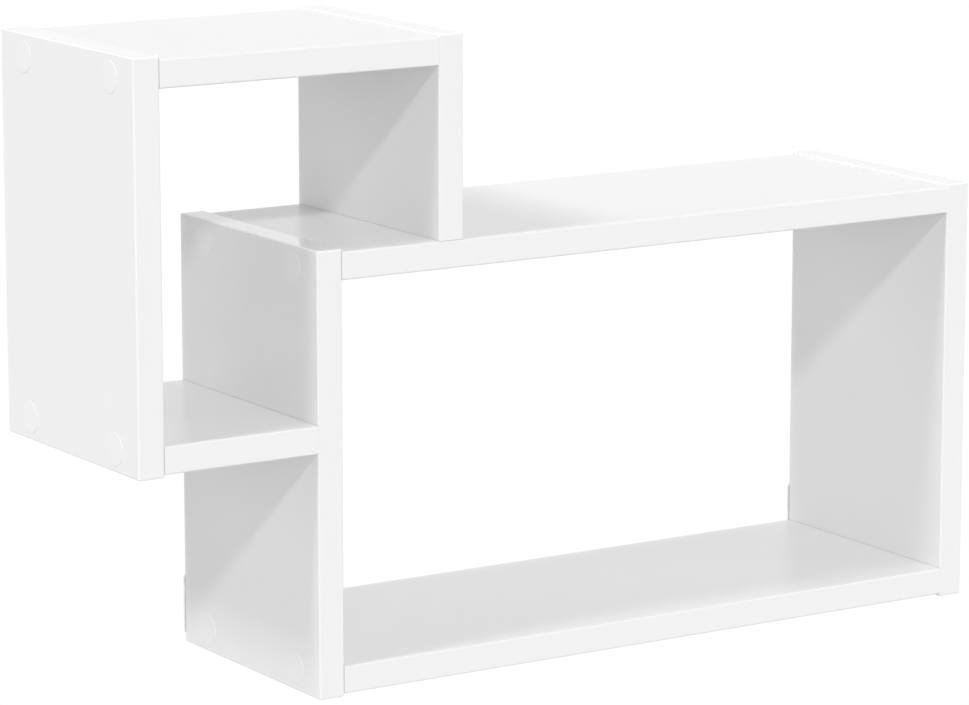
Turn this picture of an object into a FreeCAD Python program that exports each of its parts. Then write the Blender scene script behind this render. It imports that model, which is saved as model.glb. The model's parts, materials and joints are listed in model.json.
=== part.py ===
import FreeCAD, Part
import os
from collections import namedtuple
import Sketcher

# Wall shelf of faced board: a small upper frame and a large lower frame that overlap at one corner.
# Millimetres, +Z up, +Y towards the wall, +X to the right as seen from the room.
# The origin lies on the wall, midway between the two wall screws, level with the keyholes' round ends.

Vector = FreeCAD.Vector

DIMENSIONS = {
    # Boards
    "board_thickness": 15,
    "shelf_depth": 145,
    "edge_radius": 1,
    "side_overhang": 1.5,  # how far the sides stand past the outer faces of the boards between them
    # Frames
    "lower_width": 425,
    "lower_height": 238,
    "frame_shift": 105,  # from the upper frame's left face to the lower frame's left face
    "frame_overlap": 89,  # from the lower frame's left face to the upper frame's right face
    "upper_height": 215,
    "upper_rise": 107,  # from the lower sides' top ends to the upper sides' top ends
    # Frame screws, with a countersunk head and a hexagon socket
    "frame_screw_diameter": 6.3,
    "frame_screw_head": 10,
    "frame_screw_length": 40,
    "frame_screw_recess": 0.3,  # how far the head lies under the board's face
    "frame_screw_tip": 2,
    "screw_inset": 25.5,  # from a board's front or rear edge to the nearest screw
    "socket_across": 4,
    "socket_depth": 2.4,
    "countersink_angle": 90,
    "screw_clearance": 0.05,
    "screw_end_gap": 1,
    # Dowels
    "dowel_diameter": 8,
    "dowel_length": 30,
    "dowel_side_depth": 10,  # the part of the dowel that is in the board with the screw heads
    "dowel_chamfer": 1,
    "dowel_clearance": 0.05,
    "dowel_end_gap": 0.5,
    # Stick-on cover caps
    "cap_diameter": 17,
    "cap_thickness": 0.2,
    "cap_rim": 0.1,
    "cap_shift": 3,  # from a screw near a board's end to its cap's centre, away from that end
    # Hanger plates, with a keyhole between two tabs
    "plate_width": 15,
    "plate_thickness": 1.5,
    "plate_tab": 10.1,
    "plate_lift": 4,  # from a lower side's bottom end to its plate
    "plate_corner": 2,
    "entry_diameter": 9,
    "slot_width": 4.6,
    "keyhole_travel": 7,  # from the centre of the round end to the centre of the slot's end
    "recess_clearance": 0.3,  # how much further than the keyhole's round end the room behind it reaches
    "recess_depth": 8,
    # Plate screws, with a countersunk head and a cross recess
    "plate_screw_diameter": 3,
    "plate_screw_length": 12,
    "plate_screw_recess": 0.1,
    "plate_screw_tip": 3,
    "plate_screw_inset": 4.5,  # from a plate's end to the nearest screw
    "plate_hole_length": 0.2,  # the straight part of a plate's screw hole, under its countersink
    "cross_length": 2.8,
    "cross_width": 0.9,
    "cross_depth": 1,
}

# Places and sizes worked out from the driving dimensions, as expressions in the part's frame
THICK = "dims.board_thickness"
HALF = f"({THICK} / 2)"
DEPTH = "dims.shelf_depth"
MIDDLE = f"({DEPTH} / 2)"
FRONT_Y = f"(-dims.plate_thickness - {DEPTH})"
PLATE_HEIGHT = "(2 * dims.plate_tab + (dims.entry_diameter + dims.slot_width) / 2 + dims.keyhole_travel)"
ENTRY_HEIGHT = "(dims.plate_tab + dims.entry_diameter / 2)"
LOWER_LEFT_X = "(-dims.lower_width / 2)"
LOWER_RIGHT_X = f"(dims.lower_width / 2 - {THICK})"
LOWER_BOARD_X = f"({LOWER_LEFT_X} + {THICK})"
LOWER_BOARD_WIDTH = f"(dims.lower_width - 2 * {THICK})"
LOWER_Z = f"(-dims.plate_lift - {ENTRY_HEIGHT})"
LOWER_BOTTOM_Z = f"({LOWER_Z} + dims.side_overhang)"
LOWER_TOP_Z = f"({LOWER_Z} + dims.lower_height - dims.side_overhang - {THICK})"
UPPER_LEFT_X = f"({LOWER_LEFT_X} - dims.frame_shift)"
UPPER_BOARD_X = f"({UPPER_LEFT_X} + {THICK})"
UPPER_RIGHT_X = f"({LOWER_LEFT_X} + dims.frame_overlap - {THICK})"
UPPER_END_Z = f"({LOWER_Z} + dims.lower_height + dims.upper_rise)"
UPPER_Z = f"({UPPER_END_Z} - dims.upper_height)"
UPPER_FOOT_Z = f"({LOWER_TOP_Z} + {THICK})"
UPPER_BOTTOM_Z = f"({UPPER_Z} + dims.side_overhang)"
UPPER_TOP_Z = f"({UPPER_END_Z} - dims.side_overhang - {THICK})"
UPPER_TOP_WIDTH = f"({UPPER_RIGHT_X} - {UPPER_BOARD_X})"
UPPER_BOTTOM_WIDTH = f"({LOWER_LEFT_X} - {UPPER_BOARD_X})"
UPPER_RIGHT_HEIGHT = f"({UPPER_END_Z} - {UPPER_FOOT_Z})"
FIRST_SCREW = "dims.screw_inset"
LAST_SCREW = f"({DEPTH} - dims.screw_inset)"
SCREW_SPACING = f"({DEPTH} - 2 * dims.screw_inset)"
HEAD_SLOPE = "tan(dims.countersink_angle / 2)"
PLATE_CONE = "(dims.plate_thickness - dims.plate_screw_recess - dims.plate_hole_length)"
HEAD_DIAMETER = {
    "frame_screw": "dims.frame_screw_head",
    "plate_screw": f"(dims.plate_screw_diameter + 2 * {PLATE_CONE} * {HEAD_SLOPE})",
}

# A board's place is its lowest left corner; square names the ends that butt against another board
Board = namedtuple("Board", "label x z width height square")
BOTH_ENDS = ("left", "right")
BOARDS = {
    board.label: board
    for board in (
        Board("upper_left_side", UPPER_LEFT_X, UPPER_Z, THICK, "dims.upper_height", ()),
        Board("upper_right_side", UPPER_RIGHT_X, UPPER_FOOT_Z, THICK, UPPER_RIGHT_HEIGHT, ("bottom",)),
        Board("upper_top_board", UPPER_BOARD_X, UPPER_TOP_Z, UPPER_TOP_WIDTH, THICK, BOTH_ENDS),
        Board("upper_bottom_board", UPPER_BOARD_X, UPPER_BOTTOM_Z, UPPER_BOTTOM_WIDTH, THICK, BOTH_ENDS),
        Board("lower_left_side", LOWER_LEFT_X, LOWER_Z, THICK, "dims.lower_height", ()),
        Board("lower_right_side", LOWER_RIGHT_X, LOWER_Z, THICK, "dims.lower_height", ()),
        Board("lower_top_board", LOWER_BOARD_X, LOWER_TOP_Z, LOWER_BOARD_WIDTH, THICK, BOTH_ENDS),
        Board("lower_bottom_board", LOWER_BOARD_X, LOWER_BOTTOM_Z, LOWER_BOARD_WIDTH, THICK, BOTH_ENDS),
    )
}

# The screws pass through one board, in a direction, into the end of another.
# cap_move is the way along Z in which the caps lie off the screws, towards the middle of the board.
Joint = namedtuple("Joint", "label through end direction cap_move")
JOINTS = (
    Joint("upper_top_left", "upper_left_side", "upper_top_board", "+X", -1),
    Joint("upper_top_right", "upper_right_side", "upper_top_board", "-X", -1),
    Joint("upper_bottom_left", "upper_left_side", "upper_bottom_board", "+X", 1),
    Joint("upper_bottom_right", "lower_left_side", "upper_bottom_board", "-X", 0),
    Joint("upper_side_foot", "lower_top_board", "upper_right_side", "+Z", 0),
    Joint("lower_top_left", "lower_left_side", "lower_top_board", "+X", -1),
    Joint("lower_top_right", "lower_right_side", "lower_top_board", "-X", -1),
    Joint("lower_bottom_left", "lower_left_side", "lower_bottom_board", "+X", 1),
    Joint("lower_bottom_right", "lower_right_side", "lower_bottom_board", "-X", 1),
)

# Each hanger plate, with the side that carries it
HANGERS = {"left": "lower_left_side", "right": "lower_right_side"}

# The origin plane across each axis, and the way along that axis in which the plane's normal points
PLANE_ACROSS = {"X": ("YZ_Plane", 1), "Y": ("XZ_Plane", -1), "Z": ("XY_Plane", 1)}
# The way in which a fastener's own +X axis points, for each direction of a joint
DIRECTIONS = {"+X": Vector(1, 0, 0), "-X": Vector(-1, 0, 0), "+Z": Vector(0, 0, 1)}
HEXAGON_CORNERS = 6
LEAST_CUT = 0.1  # cubic millimetres that every cut takes away, at least
SAME_PLACE = 1e-6  # millimetres within which two places are one

doc = FreeCAD.newDocument("wall_shelf")
sheet = doc.addObject("Spreadsheet::Sheet", "dims")
for row, (alias, number) in enumerate(DIMENSIONS.items(), start=1):
    sheet.set(f"A{row}", alias)
    sheet.set(f"B{row}", str(number))
    sheet.setAlias(f"B{row}", alias)
doc.recompute()
parts = {}


def value(expression):
    """The number that an expression gives with the sheet's present cells."""
    return float(sheet.evalExpression(expression))


def new_body(label):
    """A sub-part; a group of like fasteners is one body of separate solids."""
    body = doc.addObject("PartDesign::Body", label)
    body.Label = label
    body.AllowCompound = True
    parts[label] = body
    return body


def place(body, x, y, z, rotation=FreeCAD.Rotation()):
    """Turn a body about its own origin and bind that origin's place."""
    body.Placement = FreeCAD.Placement(Vector(), rotation)
    body.setExpression("Placement.Base.x", x)
    body.setExpression("Placement.Base.y", y)
    body.setExpression("Placement.Base.z", z)


def origin_feature(body, role):
    """One of the body's own planes or axes."""
    return next(feature for feature in body.Origin.OriginFeatures if feature.Role == role)


# Sketches
def new_sketch(body, axis, at="0"):
    """A sketch across one of the body's axes, at a place along that axis."""
    role, normal = PLANE_ACROSS[axis]
    sketch = body.newObject("Sketcher::SketchObject", f"{body.Name}_sketch")
    sketch.AttachmentSupport = [(origin_feature(body, role), "")]
    sketch.MapMode = "FlatFace"
    sketch.setExpression("AttachmentOffset.Base.z", f"{normal} * ({at})")
    return sketch


def hold(sketch, kind, references, expression):
    """A dimension of the sketch, bound to an expression."""
    number = sketch.addConstraint(Sketcher.Constraint(kind, *references, value(expression)))
    sketch.setExpression(f"Constraints[{number}]", expression)


def hold_point(sketch, geometry, point, across, up):
    """Hold one point of a piece of geometry at its place from the sketch's origin."""
    hold(sketch, "DistanceX", (-1, 1, geometry, point), across)
    hold(sketch, "DistanceY", (-1, 1, geometry, point), up)


def draw_outline(sketch, corners):
    """A closed outline of straight lines."""
    places = [Vector(value(across), value(up), 0) for across, up in corners]
    count = len(corners)
    for index in range(count):
        sketch.addGeometry(Part.LineSegment(places[index], places[(index + 1) % count]))
    for index, (across, up) in enumerate(corners):
        sketch.addConstraint(Sketcher.Constraint("Coincident", index, 2, (index + 1) % count, 1))
        hold_point(sketch, index, 1, across, up)


def draw_rectangle(sketch, width, height):
    """A rectangle with one corner at the sketch's origin."""
    draw_outline(sketch, [("0", "0"), (width, "0"), (width, height), ("0", height)])


def draw_circles(sketch, centres, diameter):
    """Equal circles."""
    for across, up in centres:
        centre = Vector(value(across), value(up), 0)
        index = sketch.addGeometry(Part.Circle(centre, Vector(0, 0, 1), value(diameter) / 2))
        hold_point(sketch, index, 3, across, up)
        hold(sketch, "Diameter", (index,), diameter)


def draw_upright_slot(sketch, across, low, high, width):
    """A slot with round ends, from one end's centre up to the other's."""
    radius = value(width) / 2
    low_centre = Vector(value(across), value(low), 0)
    high_centre = Vector(value(across), value(high), 0)
    aside = Vector(radius, 0, 0)
    down = Vector(0, -radius, 0)
    lower_end = Part.Arc(low_centre - aside, low_centre + down, low_centre + aside)
    upper_end = Part.Arc(high_centre + aside, high_centre - down, high_centre - aside)
    bottom = sketch.addGeometry(lower_end)
    right = sketch.addGeometry(Part.LineSegment(low_centre + aside, high_centre + aside))
    top = sketch.addGeometry(upper_end)
    left = sketch.addGeometry(Part.LineSegment(high_centre - aside, low_centre - aside))
    for first, second in ((bottom, right), (right, top), (top, left), (left, bottom)):
        sketch.addConstraint(Sketcher.Constraint("Tangent", first, 2, second, 1))
    sketch.addConstraint(Sketcher.Constraint("Vertical", right))
    sketch.addConstraint(Sketcher.Constraint("Vertical", left))
    hold_point(sketch, bottom, 3, across, low)
    hold(sketch, "DistanceY", (-1, 1, top, 3), high)
    hold(sketch, "Diameter", (bottom,), width)


# Features
def pad(body, sketch, length, reverse=False):
    """Material on the sketch, along its normal or against it."""
    feature = body.newObject("PartDesign::Pad", f"{body.Name}_pad")
    feature.Profile = sketch
    feature.Reversed = reverse
    feature.setExpression("Length", length)
    doc.recompute()
    return feature


def drill(body, direction, at, centres, diameter, depth=None, head=None):
    """Round holes that start at a place along an axis and go in a direction, through all or to a depth."""
    sign, axis = direction
    sketch = new_sketch(body, axis, at)
    draw_circles(sketch, centres, diameter)
    doc.recompute()
    hole = body.newObject("PartDesign::Hole", f"{body.Name}_hole")
    hole.Profile = sketch
    doc.recompute()
    hole.ThreadType = "None"
    hole.DrillPoint = "Flat"
    hole.Reversed = int(f"{sign}1") == PLANE_ACROSS[axis][1]
    hole.setExpression("Diameter", diameter)
    if depth is None:
        hole.DepthType = "ThroughAll"
    else:
        hole.DepthType = "Dimension"
        hole.setExpression("Depth", depth)
    if head is not None:
        hole.HoleCutType = "Countersink"
        hole.HoleCutCustomValues = True
        hole.setExpression("HoleCutDiameter", head)
        hole.setExpression("HoleCutCountersinkAngle", "dims.countersink_angle")
    doc.recompute()


def cut(body, direction, sketch, depth):
    """A pocket of the sketch's shape that goes in a direction to a depth."""
    sign, axis = direction
    pocket = body.newObject("PartDesign::Pocket", f"{body.Name}_pocket")
    pocket.Profile = sketch
    pocket.Reversed = int(f"{sign}1") == PLANE_ACROSS[axis][1]
    pocket.setExpression("Length", depth)
    doc.recompute()
    return pocket


def edge_names(shape, wanted):
    """The names of the shape's edges for which the test holds."""
    return [f"Edge{number}" for number, edge in enumerate(shape.Edges, start=1) if wanted(edge)]


def dress(body, kind, base, edges, size_name, size):
    """A fillet or chamfer on edges of a feature."""
    feature = body.newObject(f"PartDesign::{kind}", f"{body.Name}_{kind.lower()}")
    feature.Base = (base, edges)
    feature.setExpression(size_name, size)
    doc.recompute()


# Screws, which both the boards' holes and the fasteners take their sizes from
def cone_length(kind):
    """How long the countersunk part of a screw's head is."""
    return f"(({HEAD_DIAMETER[kind]} - dims.{kind}_diameter) / 2 / {HEAD_SLOPE})"


def hole_diameter(kind):
    """The hole that a screw passes through."""
    return f"(dims.{kind}_diameter + 2 * dims.screw_clearance)"


def countersink_diameter(kind):
    """The countersink at the face that a screw's head lies under."""
    return f"({HEAD_DIAMETER[kind]} + 2 * (dims.{kind}_recess * {HEAD_SLOPE} + dims.screw_clearance))"


# Boards
def in_square_end(edge, board):
    """Whether an edge lies in an end that butts against another board."""
    box = edge.BoundBox
    ends = {
        "left": (box.XMin, box.XMax, 0),
        "right": (box.XMin, box.XMax, value(board.width)),
        "bottom": (box.ZMin, box.ZMax, 0),
    }
    return any(
        abs(low - place_of_end) < SAME_PLACE and abs(high - place_of_end) < SAME_PLACE
        for low, high, place_of_end in (ends[name] for name in board.square)
    )


def make_board(board):
    """A board from its lowest, left, front corner, with rounded edges except at its square ends."""
    body = new_body(board.label)
    place(body, board.x, FRONT_Y, board.z)
    sketch = new_sketch(body, "Z")
    draw_rectangle(sketch, board.width, DEPTH)
    slab = pad(body, sketch, board.height)
    edges = edge_names(slab.Shape, lambda edge: not in_square_end(edge, board))
    dress(body, "Fillet", slab, edges, "Radius", "dims.edge_radius")


def joint_line(joint):
    """The middle of the end board's thickness: its height, or its place along X if the screws go up."""
    end = BOARDS[joint.end]
    return f"({end.x} + {HALF})" if joint.direction == "+Z" else f"({end.z} + {HALF})"


def head_face(joint):
    """Where the face with the screw heads lies along the joint's axis."""
    through = BOARDS[joint.through]
    return {
        "+X": through.x,
        "-X": f"({through.x} + {THICK})",
        "+Z": through.z,
    }[joint.direction]


def hole_centres(joint, line, depths):
    """Centres of the holes of a joint, in the order of the sketch that lies across its axis."""
    if joint.direction == "+Z":
        return [(line, depth) for depth in depths]
    return [(depth, line) for depth in depths]


def drill_joint(joint):
    """The holes of one joint, in the board that the screws pass through and in the other board's end."""
    through, end = BOARDS[joint.through], BOARDS[joint.end]
    direction = joint.direction
    back = direction.translate(str.maketrans("+-", "-+"))
    near, far = ("0", THICK) if direction[0] == "+" else (THICK, "0")
    start = through.x if direction == "+Z" else through.z
    through_line = f"({joint_line(joint)} - {start})"
    screws = (FIRST_SCREW, LAST_SCREW)
    screw = hole_diameter("frame_screw")
    dowel = "(dims.dowel_diameter + 2 * dims.dowel_clearance)"

    body = parts[joint.through]
    centres = hole_centres(joint, through_line, screws)
    drill(body, direction, near, centres, screw, head=countersink_diameter("frame_screw"))
    centres = hole_centres(joint, through_line, (MIDDLE,))
    drill(body, back, far, centres, dowel, "dims.dowel_side_depth + dims.dowel_end_gap")

    body = parts[joint.end]
    end_at = end.width if direction == "-X" else "0"
    reach = f"dims.frame_screw_recess + dims.frame_screw_length - {THICK} + dims.screw_end_gap"
    drill(body, direction, end_at, hole_centres(joint, HALF, screws), screw, reach)
    reach = "dims.dowel_length - dims.dowel_side_depth + dims.dowel_end_gap"
    drill(body, direction, end_at, hole_centres(joint, HALF, (MIDDLE,)), dowel, reach)


def plate_screw_heights(bottom):
    """Heights of a hanger plate's two screws, for a plate whose lower end is at a height."""
    return f"({bottom} + dims.plate_screw_inset)", f"({bottom} + {PLATE_HEIGHT} - dims.plate_screw_inset)"


def cut_hanger_seat(side):
    """Room in a side's rear edge for the wall screw's head, and holes for the plate's screws."""
    body = parts[side]
    entry = f"(dims.plate_lift + {ENTRY_HEIGHT})"
    sketch = new_sketch(body, "Y", DEPTH)
    width = "(dims.entry_diameter + 2 * dims.recess_clearance)"
    draw_upright_slot(sketch, HALF, entry, f"({entry} + dims.keyhole_travel)", width)
    cut(body, "-Y", sketch, "dims.recess_depth")
    centres = [(HALF, height) for height in plate_screw_heights("dims.plate_lift")]
    reach = "dims.plate_screw_recess + dims.plate_screw_length - dims.plate_thickness + dims.screw_end_gap"
    drill(body, "-Y", DEPTH, centres, hole_diameter("plate_screw"), reach)


# Fasteners, each made along its own +X axis from the face that the screw heads lie under
def place_at_joint(body, joint, depth, move="0"):
    """Put a fastener in a joint, at a depth from the shelf's front and moved along Z."""
    line, face = joint_line(joint), head_face(joint)
    x, z = (line, face) if joint.direction == "+Z" else (face, f"({line} + {move})")
    ahead, aside = DIRECTIONS[joint.direction], Vector(0, 1, 0)
    turn = FreeCAD.Rotation(ahead, aside, ahead.cross(aside), "XYZ")
    place(body, x, f"({FRONT_Y} + {depth})", z, turn)


def draw_hexagon(sketch, across_flats):
    """A hexagon about the sketch's origin."""
    corner = f"({across_flats} / sqrt(3))"
    turns = [360 * index // HEXAGON_CORNERS for index in range(HEXAGON_CORNERS)]
    draw_outline(sketch, [(f"{corner} * cos({turn})", f"{corner} * sin({turn})") for turn in turns])


def draw_cross(sketch, length, width):
    """A cross about the sketch's origin."""
    far, near = f"{length} / 2", f"{width} / 2"
    quarter = [(far, near), (near, near), (near, far)]
    corners = list(quarter)
    corners += [(f"-{across}", up) for across, up in reversed(quarter)]
    corners += [(f"-{across}", f"-{up}") for across, up in quarter]
    corners += [(across, f"-{up}") for across, up in reversed(quarter)]
    draw_outline(sketch, corners)


def make_screws(label, kind, draw_drive, drive_depth, spacing, along):
    """Two countersunk screws, the second one spaced from the first along one of the body's axes."""
    body = new_body(label)
    top = f"dims.{kind}_recess"
    end = f"({top} + dims.{kind}_length)"
    head = f"{HEAD_DIAMETER[kind]} / 2"
    shank = f"dims.{kind}_diameter / 2"
    sketch = new_sketch(body, "Z")
    draw_outline(
        sketch,
        [
            (top, "0"),
            (top, head),
            (f"{top} + {cone_length(kind)}", shank),
            (f"{end} - dims.{kind}_tip", shank),
            (end, f"{shank} / 2"),
            (end, "0"),
        ],
    )
    turned = body.newObject("PartDesign::Revolution", f"{label}_turned")
    turned.Profile = sketch
    turned.ReferenceAxis = (sketch, ["H_Axis"])
    doc.recompute()
    drive_sketch = new_sketch(body, "X", top)
    draw_drive(drive_sketch)
    drive = cut(body, "+X", drive_sketch, drive_depth)
    pair = body.newObject("PartDesign::LinearPattern", f"{label}_pair")
    pair.Originals = [turned, drive]
    pair.Direction = (origin_feature(body, along), [""])
    pair.Occurrences = 2
    pair.setExpression("Length", spacing)
    body.Tip = pair
    doc.recompute()
    return body


def draw_socket(sketch):
    """The hexagon socket of a frame screw."""
    draw_hexagon(sketch, "dims.socket_across")


def draw_cross_recess(sketch):
    """The cross recess of a plate screw."""
    draw_cross(sketch, "dims.cross_length", "dims.cross_width")


def make_frame_screws(joint):
    """The two screws of a joint, with their heads just under the board's face."""
    label = f"{joint.label}_screws"
    body = make_screws(label, "frame_screw", draw_socket, "dims.socket_depth", SCREW_SPACING, "Y_Axis")
    place_at_joint(body, joint, FIRST_SCREW)


def make_caps(joint):
    """The two stick-on caps of a joint, flat on the board's face, with a rounded rim."""
    body = new_body(f"{joint.label}_caps")
    sketch = new_sketch(body, "X")
    draw_circles(sketch, [("0", "0"), (SCREW_SPACING, "0")], "dims.cap_diameter")
    discs = pad(body, sketch, "dims.cap_thickness", reverse=True)
    half_way_out = -value("dims.cap_thickness") / 2
    rims = edge_names(discs.Shape, lambda edge: edge.BoundBox.XMax < half_way_out)
    dress(body, "Fillet", discs, rims, "Radius", "dims.cap_rim")
    place_at_joint(body, joint, FIRST_SCREW, f"({joint.cap_move} * dims.cap_shift)")


def make_dowel(joint):
    """The dowel of a joint, with chamfered ends."""
    body = new_body(f"{joint.label}_dowel")
    sketch = new_sketch(body, "X", f"{THICK} - dims.dowel_side_depth")
    draw_circles(sketch, [("0", "0")], "dims.dowel_diameter")
    rod = pad(body, sketch, "dims.dowel_length")
    half_length = value("dims.dowel_length") / 2
    ends = edge_names(rod.Shape, lambda edge: edge.BoundBox.XLength < half_length)
    dress(body, "Chamfer", rod, ends, "Size", "dims.dowel_chamfer")
    place_at_joint(body, joint, MIDDLE)


# Hanger plates
def make_hanger_plate(name, side):
    """A flat plate on a side's rear edge, with a keyhole that hangs on a wall screw."""
    body = new_body(f"{name}_hanger_plate")
    centre = "(dims.plate_width / 2)"
    sketch = new_sketch(body, "Y")
    draw_rectangle(sketch, "dims.plate_width", PLATE_HEIGHT)
    blank = pad(body, sketch, "dims.plate_thickness", reverse=True)
    half_thickness = value("dims.plate_thickness") / 2
    corners = edge_names(blank.Shape, lambda edge: edge.BoundBox.YLength > half_thickness)
    dress(body, "Fillet", blank, corners, "Radius", "dims.plate_corner")
    drill(body, "+Y", "0", [(centre, ENTRY_HEIGHT)], "dims.entry_diameter")
    sketch = new_sketch(body, "Y")
    slot_end = f"({ENTRY_HEIGHT} + dims.keyhole_travel)"
    draw_upright_slot(sketch, centre, ENTRY_HEIGHT, slot_end, "dims.slot_width")
    cut(body, "+Y", sketch, "dims.plate_thickness")
    centres = [(centre, height) for height in plate_screw_heights("0")]
    head = countersink_diameter("plate_screw")
    drill(body, "-Y", "dims.plate_thickness", centres, hole_diameter("plate_screw"), head=head)
    x = f"({BOARDS[side].x} + {HALF} - {centre})"
    place(body, x, "-dims.plate_thickness", f"({LOWER_Z} + dims.plate_lift)")


def make_plate_screws(name, side):
    """The two screws of a hanger plate, driven into the side's rear edge from the wall."""
    lowest, highest = plate_screw_heights(f"({LOWER_Z} + dims.plate_lift)")
    spacing = f"({highest} - {lowest})"
    label = f"{name}_plate_screws"
    body = make_screws(label, "plate_screw", draw_cross_recess, "dims.cross_depth", spacing, "Z_Axis")
    from_the_wall = FreeCAD.Rotation(Vector(0, 0, 1), -90)
    place(body, f"({BOARDS[side].x} + {HALF})", "0", lowest, from_the_wall)


# The whole shelf
for shelf_board in BOARDS.values():
    make_board(shelf_board)
for shelf_joint in JOINTS:
    drill_joint(shelf_joint)
    make_frame_screws(shelf_joint)
    make_caps(shelf_joint)
    make_dowel(shelf_joint)
for hanger, carrier in HANGERS.items():
    cut_hanger_seat(carrier)
    make_hanger_plate(hanger, carrier)
    make_plate_screws(hanger, carrier)
doc.recompute()

# Nothing is written unless every object is sound and every cut took material away
for thing in doc.Objects:
    if "Invalid" in thing.State or "Error" in thing.State:
        raise RuntimeError(f"{thing.Name} failed: {thing.State}")
    if thing.TypeId in ("PartDesign::Hole", "PartDesign::Pocket"):
        if thing.BaseFeature.Shape.Volume - thing.Shape.Volume < LEAST_CUT:
            raise RuntimeError(f"{thing.Name} cuts nothing")
for part_label, part in parts.items():
    if part.Shape.isNull() or not part.Shape.isValid():
        raise RuntimeError(f"{part_label} has no sound shape")

os.makedirs("parts", exist_ok=True)
for part_label, part in parts.items():
    part.Shape.exportStep(f"parts/{part_label}.step")
print(f"{len(parts)} sub-parts, {sum(len(part.Shape.Solids) for part in parts.values())} solids")
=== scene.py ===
import json
import math
from collections import namedtuple

import bpy
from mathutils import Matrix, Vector


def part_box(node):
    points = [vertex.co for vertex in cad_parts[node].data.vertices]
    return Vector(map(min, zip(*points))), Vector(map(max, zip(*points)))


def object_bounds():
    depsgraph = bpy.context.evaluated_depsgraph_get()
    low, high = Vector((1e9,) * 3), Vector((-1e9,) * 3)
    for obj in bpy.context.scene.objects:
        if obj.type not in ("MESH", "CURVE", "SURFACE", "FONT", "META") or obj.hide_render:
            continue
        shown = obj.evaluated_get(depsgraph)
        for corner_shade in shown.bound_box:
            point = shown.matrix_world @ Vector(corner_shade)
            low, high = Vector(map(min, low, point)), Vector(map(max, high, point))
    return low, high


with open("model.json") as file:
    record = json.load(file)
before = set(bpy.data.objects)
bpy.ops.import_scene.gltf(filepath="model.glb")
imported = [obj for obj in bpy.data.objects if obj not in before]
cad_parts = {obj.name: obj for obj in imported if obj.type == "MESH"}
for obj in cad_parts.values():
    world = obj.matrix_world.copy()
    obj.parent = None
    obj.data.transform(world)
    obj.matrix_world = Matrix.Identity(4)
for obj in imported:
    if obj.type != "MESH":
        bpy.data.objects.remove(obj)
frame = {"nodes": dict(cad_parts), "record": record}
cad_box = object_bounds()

# A white wall shelf of two overlapping frames. Metres, in the part's own frame: +Z up, +Y to the wall.
MILLIMETRE = 0.001
WHITE = (1.0, 1.0, 1.0, 1.0)

# Camera
CAMERA_PLACE = Vector((-1.3677, -2.1085, 0.6139))
CAMERA_TURN = math.radians(-32.65)
CAMERA_TILT_DOWN = math.radians(11.118)
CAMERA_LENS = 167.5
CAMERA_SENSOR = 36.0

# Light and floor
AMBIENT_STRENGTH = 0.462
BACKGROUND_STRENGTH = 1.0
# Each lamp is a far disc. Its direction and spread are in degrees: to the right of straight in front of
# the shelf, above the horizon, and across the disc. Its strength is the share of white that it adds to
# a white surface which faces it.
Lamp = namedtuple("Lamp", "aside above spread strength")
LAMPS = {
    "key": Lamp(-21, 38.1, 5.2, 0.37),
    "left_low": Lamp(-87.6, 47, 10, 0.235),
    "left_high": Lamp(-87.6, 56, 10, 0.125),
    "front_left": Lamp(-30, 12, 28, 0.113),
    "front_right": Lamp(44, 12, 28, 0.143),
    "rear_left": Lamp(-120, 12, 28, 0.072),
}
FLOOR_DROP = 1.3
FLOOR_SIZE = 120.0
FLOOR_COLOUR = (0.63, 0.63, 0.63, 1.0)
FLOOR_ROUGHNESS = 0.9
FLOOR_SPECULAR = 0.0
FLOOR_GLOW = 0.36

# Board finish
FACING_COLOUR = (0.86, 0.86, 0.86, 1.0)
FACING_SHADE = (0.845, 0.845, 0.845, 1.0)
BAND_COLOUR = (0.858, 0.858, 0.858, 1.0)
SEAM_COLOUR = (0.74, 0.74, 0.74, 1.0)
# A dark joint line with painted shade, where an upright meets a board's top
JOINT_LINE_AND_SHADE_COLOUR = (0.7, 0.7, 0.7, 1.0)
# Painted shade on a flat board's rounded corners, against their highlights
CORNER_SHADE_COLOUR = (0.78, 0.78, 0.78, 1.0)
CORNER_SHADE_DEPTH = 0.2 * MILLIMETRE
BAND_THICKNESS = 1.0 * MILLIMETRE
SIDE_WITH_PLAIN_FOOT = "upper_right_side"
SEAM_WIDTH = 0.12 * MILLIMETRE
JOINT_LINE_AND_SHADE_WIDTH = 1.0 * MILLIMETRE
LEAST_RISE = 5 * MILLIMETRE
SAME_PLACE = 0.1 * MILLIMETRE
FACING_ROUGHNESS = (0.26, 0.31)
BAND_ROUGHNESS = (0.06, 0.1)
BAND_COAT = 0.5
BAND_COAT_ROUGHNESS = 0.08
BOARD_SPECULAR = 0.3
PEARL_GRAIN = 0.7 * MILLIMETRE
PEARL_HEIGHT = 0.003 * MILLIMETRE
MOTTLE_GRAIN = 45 * MILLIMETRE

# Fittings
CAP_COLOUR = (0.857, 0.857, 0.857, 1.0)
CAP_SHADE = (0.848, 0.848, 0.848, 1.0)
CAP_ROUGHNESS = (0.26, 0.34)
CAP_SPECULAR = 0.85
CAP_GRAIN = 0.35 * MILLIMETRE
CAP_DETAIL = 3.0
CAP_HEIGHT = 0.004 * MILLIMETRE
ZINC_COLOUR = (0.86, 0.87, 0.88, 1.0)
ZINC_SHADE = (0.62, 0.63, 0.65, 1.0)
ZINC_ROUGHNESS = (0.24, 0.42)
ZINC_SPANGLE = 2.2 * MILLIMETRE
ZINC_SCRATCH = 0.25 * MILLIMETRE
ZINC_DETAIL = 4.0
ZINC_STRETCH = (6.0, 6.0, 0.6)
ZINC_HEIGHT = 0.004 * MILLIMETRE
BEECH_COLOUR = (0.66, 0.45, 0.27, 1.0)
BEECH_FLECK = (0.45, 0.27, 0.14, 1.0)
BEECH_ROUGHNESS = (0.55, 0.7)
BEECH_GRAIN = 1.1 * MILLIMETRE
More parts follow.
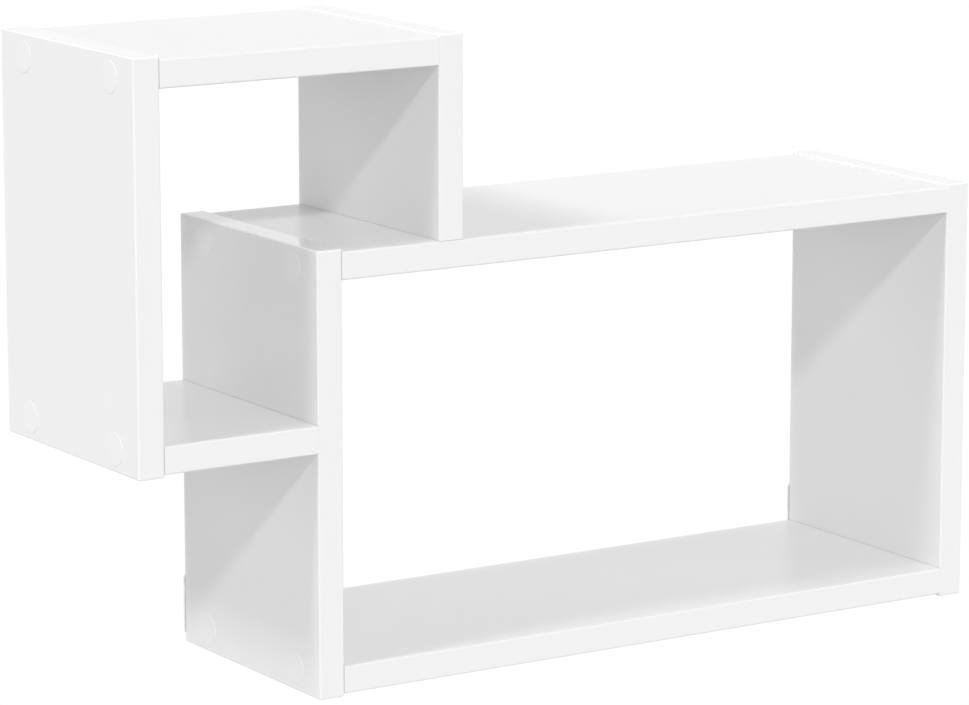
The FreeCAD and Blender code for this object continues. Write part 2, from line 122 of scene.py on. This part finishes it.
BEECH_DETAIL = 4.0
BEECH_STRETCH = 0.12
BEECH_FLECK_RANGE = (0.5, 0.7)
BEECH_HEIGHT = 0.02 * MILLIMETRE

nodes = frame["nodes"]
slot_of_node = {part["node"]: part["material_slot"] for part in frame["record"]["subparts"]}
board_boxes = {name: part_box(name) for name, slot in slot_of_node.items() if slot == "white_board"}


# Shader nodes
def new_material(name):
    """A material with an empty Principled surface: the material, its tree and that shader."""
    material = bpy.data.materials.new(name)
    material.use_nodes = True
    tree = material.node_tree
    tree.nodes.clear()
    output = tree.nodes.new("ShaderNodeOutputMaterial")
    shader = tree.nodes.new("ShaderNodeBsdfPrincipled")
    tree.links.new(shader.outputs["BSDF"], output.inputs["Surface"])
    return material, tree, shader


def feed(tree, socket, source):
    """Give a socket a constant, or link it to another node's output."""
    if isinstance(source, bpy.types.NodeSocket):
        tree.links.new(source, socket)
    else:
        socket.default_value = source


def with_identifier(sockets, identifier):
    """The socket with an identifier, among several of the same name."""
    return next(socket for socket in sockets if socket.identifier == identifier)


def calculate(tree, operation, *sources):
    """A Math node's result."""
    node = tree.nodes.new("ShaderNodeMath")
    node.operation = operation
    for socket, source in zip(node.inputs, sources):
        feed(tree, socket, source)
    return node.outputs["Value"]


def remap(tree, source, low, high, to_low=0.0, to_high=1.0):
    """A smooth step from one value to another while the source goes from low to high."""
    node = tree.nodes.new("ShaderNodeMapRange")
    node.interpolation_type = "SMOOTHSTEP"
    feed(tree, node.inputs["Value"], source)
    node.inputs["From Min"].default_value = low
    node.inputs["From Max"].default_value = high
    node.inputs["To Min"].default_value = to_low
    node.inputs["To Max"].default_value = to_high
    return node.outputs["Result"]


def mix_colours(tree, share, first, second):
    """Two colours mixed by the share of the second."""
    node = tree.nodes.new("ShaderNodeMix")
    node.data_type = "RGBA"
    feed(tree, with_identifier(node.inputs, "Factor_Float"), share)
    feed(tree, with_identifier(node.inputs, "A_Color"), first)
    feed(tree, with_identifier(node.inputs, "B_Color"), second)
    return with_identifier(node.outputs, "Result_Color")


def mix_values(tree, share, first, second):
    """Two numbers mixed by the share of the second."""
    node = tree.nodes.new("ShaderNodeMix")
    feed(tree, with_identifier(node.inputs, "Factor_Float"), share)
    feed(tree, with_identifier(node.inputs, "A_Float"), first)
    feed(tree, with_identifier(node.inputs, "B_Float"), second)
    return with_identifier(node.outputs, "Result_Float")


def place_in_part(tree):
    """The place of each point in the part's frame."""
    return tree.nodes.new("ShaderNodeTexCoord").outputs["Object"]


def stretched(tree, place, scale):
    """A place, scaled along each axis, so that a pattern on it is drawn out."""
    node = tree.nodes.new("ShaderNodeMapping")
    feed(tree, node.inputs["Vector"], place)
    node.inputs["Scale"].default_value = scale
    return node.outputs["Vector"]


def noise(tree, place, grain, detail=2.0):
    """A cloudy pattern, from 0 to 1, with lumps about as large as the grain."""
    node = tree.nodes.new("ShaderNodeTexNoise")
    feed(tree, node.inputs["Vector"], place)
    node.inputs["Scale"].default_value = 1 / grain
    node.inputs["Detail"].default_value = detail
    return node.outputs["Fac"]


def bump(tree, height, distance):
    """A normal that is tilted by a height pattern of a real depth."""
    node = tree.nodes.new("ShaderNodeBump")
    feed(tree, node.inputs["Height"], height)
    node.inputs["Distance"].default_value = distance
    node.inputs["Strength"].default_value = 1.0
    return node.outputs["Normal"]


# Materials
def coordinates(tree, place):
    """The three coordinates of a place."""
    split = tree.nodes.new("ShaderNodeSeparateXYZ")
    feed(tree, split.inputs["Vector"], place)
    return split.outputs


def edge_distance(tree, spot, low, high, axes):
    """How far each point lies inside a board's box, counted along the given axes only."""
    nearest = None
    for axis in axes:
        from_low = calculate(tree, "SUBTRACT", spot[axis], low[axis])
        from_high = calculate(tree, "SUBTRACT", high[axis], spot[axis])
        distance = calculate(tree, "MINIMUM", from_low, from_high)
        nearest = distance if nearest is None else calculate(tree, "MINIMUM", nearest, distance)
    return nearest


def joint_corners(name):
    """Where an upright board meets another one's top face: places along X, with the height of each."""
    low, high = board_boxes[name]
    corners = []
    for other_low, other_high in board_boxes.values():
        top = other_high.z
        stands_on = abs(low.z - top) < SAME_PLACE
        rises_past = low.z < top < high.z - LEAST_RISE
        for x in (low.x, high.x):
            meets = min(abs(x - other_low.x), abs(x - other_high.x)) < SAME_PLACE
            if stands_on or (rises_past and meets):
                corners.append((x, top))
    return corners


def joint_line_and_shade(tree, spot, corners):
    """1 in the corners where boards meet, fading to 0 a little above them: a dark joint line, with
    painted shade in the corner.
    """
    darkest = 0.0
    for x, z in corners:
        aside = calculate(tree, "ABSOLUTE", calculate(tree, "SUBTRACT", spot[0], x))
        above = calculate(tree, "ABSOLUTE", calculate(tree, "SUBTRACT", spot[2], z))
        line = remap(tree, calculate(tree, "MAXIMUM", aside, above), 0.0, JOINT_LINE_AND_SHADE_WIDTH, 1.0, 0.0)
        darkest = calculate(tree, "MAXIMUM", darkest, line)
    return darkest


def board_material(name):
    """White melamine facing with a fine pearl grain, and glossier bands along the edges that show."""
    material, tree, shader = new_material(f"{name}_finish")
    low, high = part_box(name)
    upright = high.z - low.z > high.x - low.x
    banded_axes = (1, 2) if upright else (1,)
    # A plain end has its edge put out of the band's reach
    if name == SIDE_WITH_PLAIN_FOOT:
        low.z -= 2 * BAND_THICKNESS
    place = place_in_part(tree)
    spot = coordinates(tree, place)
    distance = edge_distance(tree, spot, low, high, banded_axes)
    half_seam = SEAM_WIDTH / 2
    facing = remap(tree, distance, BAND_THICKNESS - half_seam, BAND_THICKNESS + half_seam)
    off_seam = calculate(tree, "ABSOLUTE", calculate(tree, "SUBTRACT", distance, BAND_THICKNESS))
    seam = remap(tree, off_seam, 0.0, SEAM_WIDTH, 1.0, 0.0)

    mottle = noise(tree, place, MOTTLE_GRAIN)
    pearl = noise(tree, place, PEARL_GRAIN)
    facing_colour = mix_colours(tree, mottle, FACING_COLOUR, FACING_SHADE)
    colour = mix_colours(tree, facing, BAND_COLOUR, facing_colour)
    colour = mix_colours(tree, seam, colour, SEAM_COLOUR)
    if upright:
        # Where a board meets this upright: a dark joint line with painted shade in the corner
        joint_and_shade = joint_line_and_shade(tree, spot, joint_corners(name))
        colour = mix_colours(tree, joint_and_shade, colour, JOINT_LINE_AND_SHADE_COLOUR)
    else:
        # Painted shade: a flat board's rounded corners, which lie inside its box, are darker than its
        # faces, which tones down their highlights
        corner_shade = remap(tree, edge_distance(tree, spot, low, high, range(3)), 0.0, CORNER_SHADE_DEPTH)
        colour = mix_colours(tree, corner_shade, colour, CORNER_SHADE_COLOUR)
    feed(tree, shader.inputs["Base Color"], colour)
    facing_roughness = mix_values(tree, pearl, *FACING_ROUGHNESS)
    band_roughness = mix_values(tree, mottle, *BAND_ROUGHNESS)
    feed(tree, shader.inputs["Roughness"], mix_values(tree, facing, band_roughness, facing_roughness))
    shader.inputs["Specular IOR Level"].default_value = BOARD_SPECULAR
    feed(tree, shader.inputs["Coat Weight"], mix_values(tree, facing, BAND_COAT, 0.0))
    shader.inputs["Coat Roughness"].default_value = BAND_COAT_ROUGHNESS
    height = calculate(tree, "SUBTRACT", calculate(tree, "MULTIPLY", pearl, facing), seam)
    feed(tree, shader.inputs["Normal"], bump(tree, height, PEARL_HEIGHT))
    return material


def cap_material():
    """Thin white foil, a little glossier than the boards."""
    material, tree, shader = new_material("cap_foil")
    place = place_in_part(tree)
    grain = noise(tree, place, CAP_GRAIN, CAP_DETAIL)
    feed(tree, shader.inputs["Base Color"], mix_colours(tree, grain, CAP_COLOUR, CAP_SHADE))
    feed(tree, shader.inputs["Roughness"], mix_values(tree, grain, *CAP_ROUGHNESS))
    shader.inputs["Specular IOR Level"].default_value = CAP_SPECULAR
    feed(tree, shader.inputs["Normal"], bump(tree, grain, CAP_HEIGHT))
    return material


def zinc_material():
    """Bright zinc on steel: faint spangles, with fine scratches from handling."""
    material, tree, shader = new_material("zinc")
    place = place_in_part(tree)
    spangle = tree.nodes.new("ShaderNodeTexVoronoi")
    feed(tree, spangle.inputs["Vector"], place)
    spangle.inputs["Scale"].default_value = 1 / ZINC_SPANGLE
    tone = tree.nodes.new("ShaderNodeSeparateColor")
    feed(tree, tone.inputs["Color"], spangle.outputs["Color"])
    scratch = noise(tree, stretched(tree, place, ZINC_STRETCH), ZINC_SCRATCH, ZINC_DETAIL)
    shade = calculate(tree, "MULTIPLY", tone.outputs["Red"], scratch)
    feed(tree, shader.inputs["Base Color"], mix_colours(tree, shade, ZINC_COLOUR, ZINC_SHADE))
    feed(tree, shader.inputs["Roughness"], mix_values(tree, scratch, *ZINC_ROUGHNESS))
    feed(tree, shader.inputs["Normal"], bump(tree, scratch, ZINC_HEIGHT))
    shader.inputs["Metallic"].default_value = 1.0
    return material


def beech_material(name):
    """Plain beech with its short dark flecks along the dowel."""
    material, tree, shader = new_material(f"{name}_wood")
    low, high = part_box(name)
    size = high - low
    along = max(range(3), key=lambda axis: size[axis])
    scale = [BEECH_STRETCH if axis == along else 1.0 for axis in range(3)]
    grain = noise(tree, stretched(tree, place_in_part(tree), scale), BEECH_GRAIN, BEECH_DETAIL)
    fleck = remap(tree, grain, *BEECH_FLECK_RANGE)
    feed(tree, shader.inputs["Base Color"], mix_colours(tree, fleck, BEECH_COLOUR, BEECH_FLECK))
    feed(tree, shader.inputs["Roughness"], mix_values(tree, fleck, *BEECH_ROUGHNESS))
    feed(tree, shader.inputs["Normal"], bump(tree, grain, BEECH_HEIGHT))
    return material


def paint(name, material):
    """Give a CAD node one material all over."""
    slots = nodes[name].data.materials
    slots.clear()
    slots.append(material)


def finish_surfaces():
    """Paint every node by the record's material slot."""
    cap = cap_material()
    zinc = zinc_material()
    for name, slot in slot_of_node.items():
        if slot == "white_board":
            paint(name, board_material(name))
        elif slot == "beech":
            paint(name, beech_material(name))
        else:
            paint(name, cap if slot == "cover_cap" else zinc)


# Stage
def seen_directly(tree):
    """1 for rays that show the background itself: straight, in a reflection or through glass."""
    path = tree.nodes.new("ShaderNodeLightPath")
    straight_or_glossy = calculate(
        tree, "MAXIMUM", path.outputs["Is Camera Ray"], path.outputs["Is Glossy Ray"]
    )
    return calculate(tree, "MAXIMUM", straight_or_glossy, path.outputs["Is Transmission Ray"])


def make_world():
    """Even light from all round, with a white background."""
    world = bpy.data.worlds.new("studio")
    bpy.context.scene.world = world
    world.use_nodes = True
    tree = world.node_tree
    tree.nodes.clear()
    background = tree.nodes.new("ShaderNodeBackground")
    background.inputs["Color"].default_value = WHITE
    strength = mix_values(tree, seen_directly(tree), AMBIENT_STRENGTH, BACKGROUND_STRENGTH)
    feed(tree, background.inputs["Strength"], strength)
    output = tree.nodes.new("ShaderNodeOutputWorld")
    tree.links.new(background.outputs["Background"], output.inputs["Surface"])


def make_floor():
    """A plain pale floor, as far below the shelf as one usually hangs."""
    bpy.ops.mesh.primitive_plane_add(size=FLOOR_SIZE, location=(0.0, 0.0, cad_box[0].z - FLOOR_DROP))
    floor = bpy.context.object
    floor.name = "floor"
    material, tree, shader = new_material("floor_paint")
    shader.inputs["Base Color"].default_value = FLOOR_COLOUR
    shader.inputs["Roughness"].default_value = FLOOR_ROUGHNESS
    shader.inputs["Specular IOR Level"].default_value = FLOOR_SPECULAR
    shader.inputs["Emission Color"].default_value = WHITE
    glow = calculate(tree, "MULTIPLY", seen_directly(tree), FLOOR_GLOW)
    feed(tree, shader.inputs["Emission Strength"], glow)
    floor.data.materials.append(material)


def make_lamps():
    """Lamps far enough away to light the shelf and the floor evenly, and left out of reflections."""
    for name, lamp in LAMPS.items():
        aside, above = math.radians(lamp.aside), math.radians(lamp.above)
        level = Vector((math.sin(aside), -math.cos(aside), 0.0))
        direction = level * math.cos(above) + Vector((0.0, 0.0, math.sin(above)))
        light = bpy.data.lights.new(name, "SUN")
        light.angle = math.radians(lamp.spread)
        light.energy = lamp.strength * math.pi
        holder = bpy.data.objects.new(name, light)
        holder.visible_glossy = False
        holder.location = direction
        holder.rotation_euler = (-direction).to_track_quat("-Z", "Y").to_euler()
        bpy.context.scene.collection.objects.link(holder)


def make_camera():
    """The photograph's view."""
    lens = bpy.data.cameras.new("camera")
    lens.lens = CAMERA_LENS
    lens.sensor_width = CAMERA_SENSOR
    camera = bpy.data.objects.new("camera", lens)
    camera.location = CAMERA_PLACE
    camera.rotation_euler = (math.pi / 2 - CAMERA_TILT_DOWN, 0.0, CAMERA_TURN)
    bpy.context.scene.collection.objects.link(camera)
    bpy.context.scene.camera = camera


finish_surfaces()
make_world()
make_floor()
make_lamps()
make_camera()
bpy.context.scene.view_settings.view_transform = "Standard"
